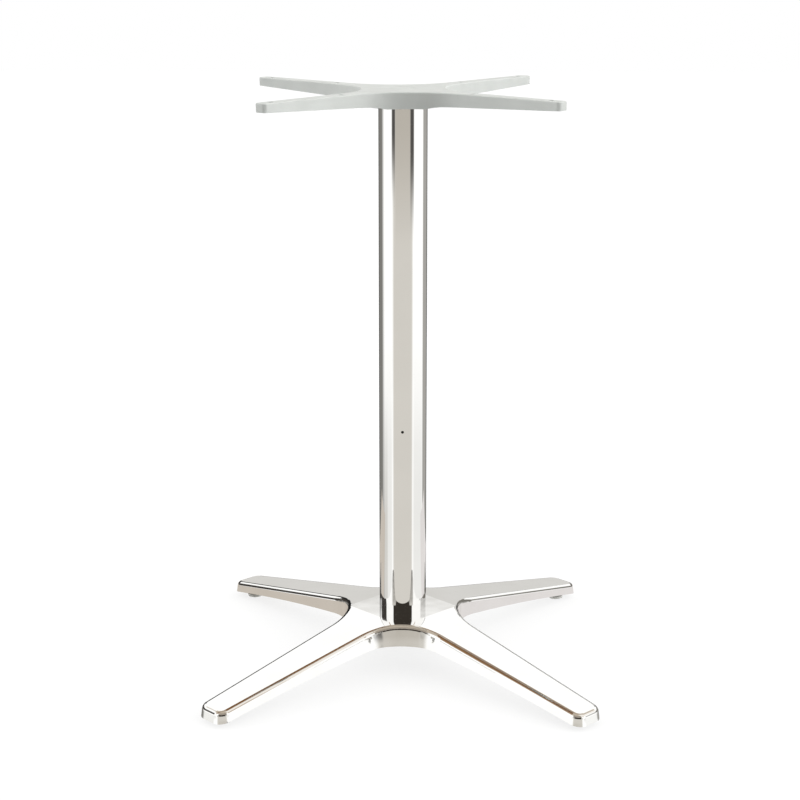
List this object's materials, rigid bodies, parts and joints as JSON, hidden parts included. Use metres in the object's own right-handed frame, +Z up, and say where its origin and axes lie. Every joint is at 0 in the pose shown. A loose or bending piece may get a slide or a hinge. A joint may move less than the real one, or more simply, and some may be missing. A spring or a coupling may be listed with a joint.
{
  "type": "four star table base",
  "caption": "Free-standing table base: polished four-armed foot star with levelling feet, round chromed column and a flat cross-shaped spider that screws to a table top.",
  "frame": {"origin": "on the floor, under the column axis, at the middle of the four levelling feet", "axes": "+Z up along the column; -Y is the front with the vent hole; the floor arms lie on the diagonals of X and Y"},
  "size_m": [0.4784, 0.4784, 0.735],
  "materials": {
    "polished_aluminium": "mirror polished casting",
    "chromed_steel": "bright chrome plate",
    "grey_paint": "satin silver-grey paint on a casting",
    "zinc_steel": "bright zinc plate",
    "pale_nylon": "natural moulded plastic"
  },
  "bodies": {
    "stand": {"star_base": "polished_aluminium", "column_tube": "chromed_steel", "top_spider": "grey_paint", "tie_rod": "zinc_steel", "lower_wide_washer": "zinc_steel", "lower_spring_washer": "zinc_steel", "lower_nut": "zinc_steel", "upper_washer": "zinc_steel", "upper_nut": "zinc_steel"},
    "foot_front_right": {"foot_stem_front_right": "zinc_steel", "foot_pad_front_right": "pale_nylon"},
    "foot_back_right": {"foot_stem_back_right": "zinc_steel", "foot_pad_back_right": "pale_nylon"},
    "foot_back_left": {"foot_stem_back_left": "zinc_steel", "foot_pad_back_left": "pale_nylon"},
    "foot_front_left": {"foot_stem_front_left": "zinc_steel", "foot_pad_front_left": "pale_nylon"}
  },
  "joints": [
    {"name": "foot_front_right_screw", "type": "slide", "parent": "stand", "child": "foot_front_right", "axis": [0, 0, -1], "range_m": [0, 0.006]},
    {"name": "foot_back_right_screw", "type": "slide", "parent": "stand", "child": "foot_back_right", "axis": [0, 0, -1], "range_m": [0, 0.006]},
    {"name": "foot_back_left_screw", "type": "slide", "parent": "stand", "child": "foot_back_left", "axis": [0, 0, -1], "range_m": [0, 0.006]},
    {"name": "foot_front_left_screw", "type": "slide", "parent": "stand", "child": "foot_front_left", "axis": [0, 0, -1], "range_m": [0, 0.006]}
  ]
}
